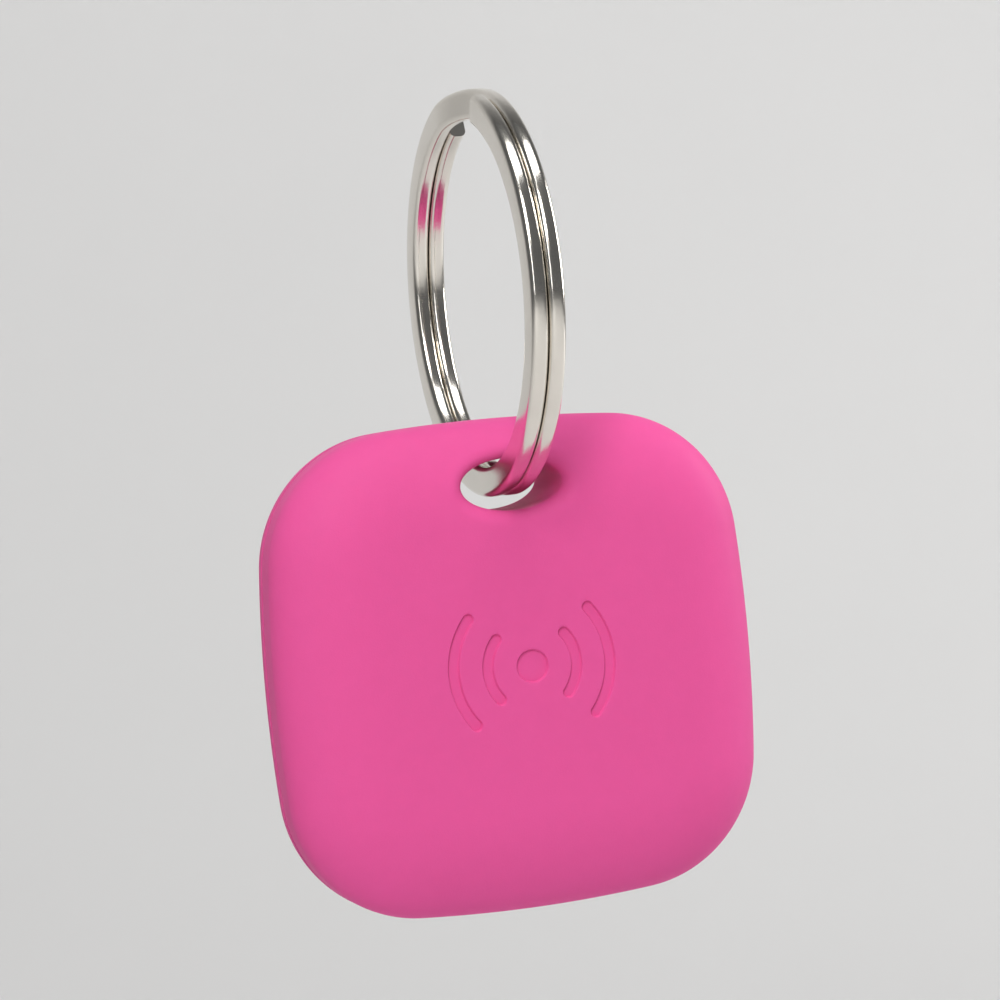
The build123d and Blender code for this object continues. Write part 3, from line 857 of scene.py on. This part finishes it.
def chip_parts_recipe():
    """A row of rounded bars on each point, turned by the point's own angle: the ceramic or the ends."""
    made = Recipe("Chip parts", Length=0.0, Width=0.0, Height=0.0, Edge=0.0, Apart=0.0, Count=1)
    given = made.given
    half = made.math("MULTIPLY", given["Length"], 0.5)
    line = made.add(
        "GeometryNodeCurvePrimitiveLine", made.vector(made.math("MULTIPLY", half, -1.0), 0.0, 0.0),
        made.vector(half, 0.0, 0.0),
    )
    section = made.add("GeometryNodeCurvePrimitiveQuadrilateral", given["Width"], given["Height"])
    section = made.add("GeometryNodeFilletCurve", section, 3, given["Edge"], mode="POLY")
    line = made.add("GeometryNodeSetCurveNormal", line, None, mode="Z_UP")
    bar = made.add("GeometryNodeCurveToMesh", line, section, None, True)
    start = made.vector(made.math("MULTIPLY", given["Apart"], -0.5), 0.0, 0.0)
    step = made.vector(given["Apart"], 0.0, 0.0)
    row = made.add("GeometryNodeMeshLine", given["Count"], None, start, step)
    bars = made.add("GeometryNodeInstanceOnPoints", row, None, bar)
    turn = made.add("GeometryNodeInputNamedAttribute", "turn").outputs["Attribute"]
    facing = made.add("FunctionNodeEulerToRotation", made.vector(0.0, turn, 0.0))
    parts = made.add("GeometryNodeInstanceOnPoints", given["Geometry"], None, bars, None, None, facing)
    return made.finish(parts)


def spots(name, places, y):
    """Loose points at (x, height, angle in degrees) from the middle of the tag."""
    mesh = mesh_of(name, [(x * MM, y, TAG_CENTRE.z + up * MM) for x, up, _ in places], [])
    turns = mesh.attributes.new("turn", "FLOAT", "POINT")
    for item, (_, _, degrees) in zip(turns.data, places):
        item.value = math.radians(degrees)
    return mesh


def turned(name, profile, sides=48, wave=None):
    """A closed mesh turned about the y axis from (radius, y) points. wave adds to the radius."""
    points, faces = [(0, profile[0][1], 0)], []
    for radius, y in profile[1:-1]:
        for i in range(sides):
            turn = math.tau * i / sides
            x, z = on_circle(radius + (wave(turn, y) if wave else 0), turn)
            points.append((x, y, z))
    points.append((0, profile[-1][1], 0))
    last = len(points) - 1
    for i in range(sides):
        j = (i + 1) % sides
        faces.append((0, 1 + i, 1 + j))
        for row in range(len(profile) - 3):
            a, b = 1 + row * sides, 1 + (row + 1) * sides
            faces.append((a + i, b + i, b + j, a + j))
        faces.append((last, last - sides + j, last - sides + i))
    return mesh_of(name, points, faces)


def box_object(name, half_x, half_z, near, far):
    """A cutting block centred on the y axis."""
    corners = [(x, y, z) for x in (-half_x, half_x) for y in (near, far) for z in (-half_z, half_z)]
    faces = [(0, 1, 3, 2), (4, 6, 7, 5), (0, 4, 5, 1), (2, 3, 7, 6), (0, 2, 6, 4), (1, 5, 7, 3)]
    return add_object(name, mesh_of(name, corners, faces))


def set_out(name, mesh, places, y, material):
    """The mesh repeated at each place."""
    stand = add_object(name + "_places", spots(name + "_places", places, y))
    made = grown(name, set_out_recipe(), material, mesh, Places=stand)
    bpy.data.objects.remove(stand)
    return made


class MakeInnerFrame(Step, bpy.types.Operator):
    """Inner frame: dark glass-filled nylon, so that the seam between the covers reads dark"""

    bl_idname = "tracker_tag.inner_frame"
    bl_label = "Inner frame"

    def make(self):
        nylon = moulded_plastic("frame_plastic", settings("tag_housing").frame, 0.55)
        repaint(nylon.material, "inner_frame")


class MakeSealAndPad(Step, bpy.types.Operator):
    """Back cover's silicone seal, and the foam pad that holds the cell down"""

    bl_idname = "tracker_tag.seal_and_pad"
    bl_label = "Seal and pad"

    def make(self):
        repaint(rubber("seal_silicone", (0.45, 0.46, 0.47)), "back_seal")
        low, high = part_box("cell_pad")
        gap = 0.005 * MM
        middle, radius, thick = (low + high) / 2, (high.x - low.x) / 2, high.y - low.y - 2 * gap
        edge = [(math.sin(math.radians(a)), math.cos(math.radians(a))) for a in range(0, 181, 15)]
        rim = [(radius - thick * (0.5 - 0.5 * s), -thick * 0.5 * c) for s, c in edge]
        face = [radius * share for share in (0, 0.15, 0.35, 0.55, 0.75, 0.9)]
        crown = [(r, -thick * 0.5) for r in face]
        profile = crown + rim + [(r, -y) for r, y in reversed(crown)]
        mesh = turned("foam_pad", profile, sides=96)
        mesh.transform(Matrix.Translation(middle))
        pad = smooth(add_object("foam_pad", mesh), PAD_SMOOTH, weighted=False)
        dress(pad, foam(), "rear", "cell_pad", slot="pad_foam")


class MakeScrews(Step, bpy.types.Operator):
    """Four cross-head screws that hold the board to the frame"""

    bl_idname = "tracker_tag.screws"
    bl_label = "Screws"

    def make(self):
        part = settings("tag_parts")
        head, tall = part.screw_head, part.screw_head_height
        shank, reach = part.screw_shank, part.screw_reach
        pitch, deep, steps = 0.32 * MM, 0.08 * MM, 60
        thread_start, thread_end = 0.3 * MM, reach - 0.05 * MM
        slot_long, slot_thin = 0.7 * MM, 0.14 * MM
        profile = [(0, -tall), (head - 0.42 * MM, -tall), (head - 0.16 * MM, -tall + 0.03 * MM)]
        profile += [(head - 0.03 * MM, -tall + 0.13 * MM), (head, -tall + 0.24 * MM)]
        profile += [(head, 0), (shank, 0)]
        profile += [(shank, reach * i / steps) for i in range(1, steps)]
        profile += [(shank - 0.12 * MM, reach), (0, reach)]

        def thread(turn, y):
            if not thread_start < y < thread_end:
                return 0
            return -deep * abs(2 * ((y / pitch - turn / math.tau) % 1) - 1)

        screw = add_object("screw", turned("screw", profile, wave=thread))
        for half_x, half_z in ((slot_long, slot_thin), (slot_thin, slot_long)):
            cut(screw, box_object("slot", half_x, half_z, -tall - MM, -tall / 2), "DIFFERENCE")
        steel = metal("screw_steel", (0.42, 0.41, 0.40), 0.3, cell=0.1 * MM)
        places = [(x, up, 0) for x in (-12.2, 12.2) for up in (-12.2, 11.4)]
        made = set_out("screws", screw.data, places, BOARD_FACE, steel)
        bpy.data.objects.remove(screw)
        smooth(made, PART_SMOOTH, weighted=False)
        dress(made, steel, "core", "frame_screws", slot="screw_steel")


class MakeBoard(Step, bpy.types.Operator):
    """Circuit board and its gold test pads"""

    bl_idname = "tracker_tag.board"
    bl_label = "Circuit board"

    def make(self):
        repaint(solder_mask(*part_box("main_board")), "main_board")
        radius, thick = 0.6 * MM, 0.04 * MM
        profile = [(0, -thick), (radius * 0.6, -thick), (radius * 0.9, -thick * 0.9)]
        profile += [(radius, -thick * 0.4), (radius, 0), (0, 0)]
        mesh = turned("pad", profile, sides=32)
        places = [(5.2 + 1.9 * i, -13.6, 0) for i in range(3)]
        places += [(12.6, 4.6 - 2.2 * i, 0) for i in range(4)]
        gold = metal("pad_gold", (0.83, 0.61, 0.27), 0.32, cell=0.08 * MM)
        made = set_out("gold_pads", mesh, places, BOARD_FACE, gold)
        smooth(made, PART_SMOOTH, weighted=False)
        dress(made, gold, "core", "test_pads", slot="pad_gold")


class MakeChips(Step, bpy.types.Operator):
    """Radio chip, memory, motion sensor and buzzer driver"""

    bl_idname = "tracker_tag.chips"
    bl_label = "Chips"

    def make(self):
        for node in ("bluetooth_chip", "memory_chip", "motion_sensor", "buzzer_driver"):
            repaint(moulded_epoxy(node), node)


class MakeCoilCrystalsAntenna(Step, bpy.types.Operator):
    """Boost coil, the two crystals and the chip antenna"""

    bl_idname = "tracker_tag.coil_crystals_antenna"
    bl_label = "Coil, crystals and antenna"

    def make(self):
        repaint(fired_ceramic("coil_ferrite", (0.11, 0.108, 0.105), 0.6), "boost_coil")
        can = metal("crystal_metal", (0.60, 0.58, 0.54), 0.3, stretch=(0.1, 1, 1), cell=0.1 * MM)
        repaint(can, "main_crystal", "clock_crystal")
        repaint(printed_antenna(), "chip_antenna")


class MakeSmallParts(Step, bpy.types.Operator):
    """Chip capacitors and resistors: ceramic bodies with tinned ends"""

    bl_idname = "tracker_tag.small_parts"
    bl_label = "Capacitors and resistors"

    def make(self):
        recipe = chip_parts_recipe()
        tin = metal("tinned_ends", (0.66, 0.65, 0.62), 0.38, cell=0.06 * MM)
        row = [(-7.0 + 1.6 * i, 7.4, 90) for i in range(4)]
        column = [(-8.9, 0.9 - 1.5 * i, 0) for i in range(3)]
        supply = [(9.3, -2.9, 90), (9.3, -5.1, 90), (2.9, -7.6, 0)]
        pair = [(1.4 + 1.7 * i, 2.4, 90) for i in range(2)]
        lower = [(-2.0, -8.2, 0), (-4.2, -8.2, 0), (5.6, -8.6, 0), (-9.4, -10.6, 90)]
        tan = fired_ceramic("capacitor_ceramic", (0.36, 0.22, 0.12), 0.5)
        black = fired_ceramic("resistor_ceramic", (0.03, 0.03, 0.034), 0.35)
        sizes = {
            "_ceramic": {"Length": 0.62, "Width": 0.5, "Height": 0.44, "Edge": 0.03},
            "_ends": {"Length": 0.25, "Width": 0.55, "Height": 0.5, "Edge": 0.09, "Apart": 0.84},
        }
        axis_height = {"_ceramic": 0.225 * MM, "_ends": 0.25 * MM}
        groups = [
            ("capacitors", row + column + supply, tan, "capacitor_ceramic"),
            ("resistors", pair + lower, black, "resistor_ceramic"),
        ]
        for node, places, ceramic, slot in groups:
            for kind, material, count in (("_ceramic", ceramic, 1), ("_ends", tin, 2)):
                points = spots(node, places, BOARD_FACE - axis_height[kind])
                size = {label: value * MM for label, value in sizes[kind].items()}
                made = grown(node + kind, recipe, material, points, Count=count, **size)
                dress(smooth(made, PART_SMOOTH), material, "core", node, slot=slot)


def flexing(node, name):
    """A copy of a CAD spring, smoothed and renamed."""
    made = smooth(merged_copy(node), PART_SMOOTH)
    made.name = made.data.name = name
    return made


def press(made):
    """Gives the spring a mesh of its own."""
    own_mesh(made)


class MakeContacts(Step, bpy.types.Operator):
    """Spring contacts for the cell and for the sounder"""

    bl_idname = "tracker_tag.contacts"
    bl_label = "Contacts"

    def make(self):
        steel = metal("contact_steel", (0.70, 0.62, 0.42), 0.28, stretch=(1, 0.1, 0.1), cell=0.12 * MM)
        repaint(steel, "negative_contact", "positive_contact")
        springs = flexing("buzzer_springs", "sounder_springs")
        dress(springs, steel, "core", "buzzer_springs", slot="contact_steel")
        press(springs)


class MakeSwitch(Step, bpy.types.Operator):
    """Push switch: base, cover plate, snap dome and plunger"""

    bl_idname = "tracker_tag.switch"
    bl_label = "Switch"

    def make(self):
        base = moulded_plastic("switch_plastic", (0.03, 0.03, 0.032), 0.5)
        repaint(base.material, "switch_base")
        plate = metal("switch_metal", (0.58, 0.57, 0.55), 0.25, stretch=(0.1, 1, 1), cell=0.1 * MM)
        repaint(plate, "switch_frame")
        steel = turned_metal("dome_metal", (0.66, 0.65, 0.62), 0.2, "switch_dome")
        dome = flexing("switch_dome", "snap_dome")
        dress(dome, steel, "core", "switch_dome", slot="switch_metal")
        press(dome)
        plunger = moulded_plastic("plunger_plastic", (0.55, 0.54, 0.50), 0.5)
        repaint(plunger.material, "switch_plunger")


class MakeSounder(Step, bpy.types.Operator):
    """Sounder: glue ring, brass plate and ceramic disc"""

    bl_idname = "tracker_tag.sounder"
    bl_label = "Sounder"

    def make(self):
        repaint(film("bond_adhesive", (0.55, 0.47, 0.30), 0.45), "piezo_bond")
        repaint(turned_metal("piezo_brass", (0.78, 0.56, 0.22), 0.3, "piezo_plate"), "piezo_plate")
        repaint(fired_ceramic("piezo_ceramic", (0.60, 0.58, 0.53), 0.45), "piezo_ceramic")


class MakeCell(Step, bpy.types.Operator):
    """Coin cell: can, cap, gasket and what is inside them"""

    bl_idname = "tracker_tag.cell"
    bl_label = "Coin cell"

    def make(self):
        repaint(turned_metal("cell_steel", (0.60, 0.59, 0.57), 0.26, "cell_can"), "cell_can")
        repaint(turned_metal("cell_cap_steel", (0.56, 0.55, 0.53), 0.32, "cell_can"), "cell_cap")
        repaint(rubber("cell_polymer", (0.10, 0.10, 0.11), 0.5), "cell_gasket")
        repaint(pressed_powder("cathode_powder", (0.035, 0.034, 0.033)), "cell_cathode")
        repaint(film("separator_film", (0.72, 0.72, 0.70), 0.8), "cell_separator")
        repaint(pressed_powder("anode_lithium", (0.46, 0.46, 0.48), metallic=0.8), "cell_anode")


class MakeStage(Step, bpy.types.Operator):
    """Pale floor and backdrop, soft lights and the camera"""

    bl_idname = "tracker_tag.stage"
    bl_label = "Stage"

    def make(self):
        stage = settings("tag_stage")
        make_backdrop(stage)
        make_lights()
        make_camera(stage)


def make_backdrop(stage):
    """A floor that curves up into a wall behind the tag."""
    floor = CAD_BOX[0].z - 50 * MM
    near, wall, top, half_width = -1.4, 0.34, 1.8, 1.6
    bend, steps = 0.2, 24
    profile = [(near, floor)]
    for i in range(steps + 1):
        turn = math.radians(90 * i / steps)
        profile.append((wall - bend + bend * math.sin(turn), floor + bend - bend * math.cos(turn)))
    profile.append((wall, top))
    points = [(x, y, z) for x in (-half_width, half_width) for y, z in profile]
    count = len(profile)
    faces = [(i, i + 1, count + i + 1, count + i) for i in range(count - 1)]
    mesh = mesh_of("backdrop", points, faces)
    mesh.shade_smooth()
    made = add_object("backdrop", mesh)
    paper = Finish("backdrop_paper", stage.backdrop, 0.85)
    paper.tint(paper.noise(40 * MM, detail=2), 0.99, 1.01)
    mesh.materials.append(paper.material)


def make_lights():
    """A large key from the front's upper left, an edge light, a top light and a strip for the ring."""
    target = Vector((0, 0, CAD_BOX[0].z * 0.5))
    lights = [
        ("key", (-0.18, -0.46, 0.36), (0.24, 0.24), 2.3, (1.0, 0.985, 0.96)),
        ("edge", (0.46, 0.02, 0.10), (0.10, 0.26), 1.25, (1.0, 0.99, 0.98)),
        ("top", (0.04, -0.14, 0.42), (0.30, 0.16), 0.8, (1.0, 1.0, 1.0)),
        ("strip", (-0.26, -0.38, 0.10), (0.05, 0.28), 0.25, (1.0, 1.0, 1.0)),
    ]
    for name, place, size, power, tint in lights:
        data = bpy.data.lights.new(name, "AREA")
        data.shape = "RECTANGLE"
        data.size, data.size_y = size
        data.energy = power
        data.color = tint
        made = add_object(name, data)
        made.location = place
        made.rotation_euler = (target - Vector(place)).to_track_quat("-Z", "Y").to_euler()
    world = bpy.data.worlds.new("studio")
    world.use_nodes = True
    sky = world.node_tree.nodes["Background"].inputs
    sky["Color"].default_value = (0.86, 0.88, 0.90, 1)
    sky["Strength"].default_value = 0.13
    bpy.context.scene.world = world
    bpy.context.scene.view_settings.view_transform = "Standard"


def make_camera(stage):
    """A camera that looks at the middle of the part, back far enough to leave a margin round it."""
    sensor, margin = 36, 1.22
    low, high = CAD_BOX
    centre = (low + high) / 2
    back = Vector((
        math.sin(stage.azimuth) * math.cos(stage.elevation),
        -math.cos(stage.azimuth) * math.cos(stage.elevation),
        math.sin(stage.elevation),
    ))
    data = bpy.data.cameras.new("camera")
    data.lens = stage.lens
    data.sensor_width = sensor
    data.clip_start, data.clip_end = 0.01, 10
    distance = (high.z - low.z) / 2 / math.tan(math.atan(sensor / 2 / stage.lens)) * margin
    made = add_object("camera", data)
    made.location = centre + back * distance
    facing = (-back).to_track_quat("-Z", "Y").to_matrix()
    made.rotation_euler = (facing @ Matrix.Rotation(-stage.roll, 3, "Z")).to_euler()
    bpy.context.scene.camera = made


class TagPanel(bpy.types.Panel):
    """Buttons that build the tag piece by piece"""

    bl_idname = "VIEW3D_PT_tracker_tag"
    bl_label = "Tracker tag"
    bl_space_type = "VIEW_3D"
    bl_region_type = "UI"
    bl_category = "Tracker tag"

    def draw(self, context):
        for operator in STEPS:
            self.layout.operator(operator.bl_idname)


SETTINGS = {
    "tag_housing": HousingSettings, "tag_ring": RingSettings,
    "tag_parts": PartSettings, "tag_stage": StageSettings,
}
STEPS = [
    MakeFrontCover, MakeBackCover, MakeSealAndPad, MakeSplitRing, MakeInnerFrame,
    MakeScrews, MakeBoard, MakeChips, MakeCoilCrystalsAntenna, MakeSmallParts,
    MakeContacts, MakeSwitch, MakeSounder, MakeCell, MakeStage,
]


def register():
    for name, group in SETTINGS.items():
        bpy.utils.register_class(group)
        setattr(bpy.types.Scene, name, bpy.props.PointerProperty(type=group))
    for cls in [*STEPS, TagPanel]:
        bpy.utils.register_class(cls)


def unregister():
    for cls in reversed([*STEPS, TagPanel]):
        bpy.utils.unregister_class(cls)
    for name, group in SETTINGS.items():
        delattr(bpy.types.Scene, name)
        bpy.utils.unregister_class(group)


def run(operator):
    group, name = operator.bl_idname.split(".")
    if getattr(getattr(bpy.ops, group), name)() != {"FINISHED"}:
        raise RuntimeError(operator.bl_label + " wasn't made")


def main():
    register()
    for operator in STEPS:
        run(operator)


if __name__ == "__main__":
    main()
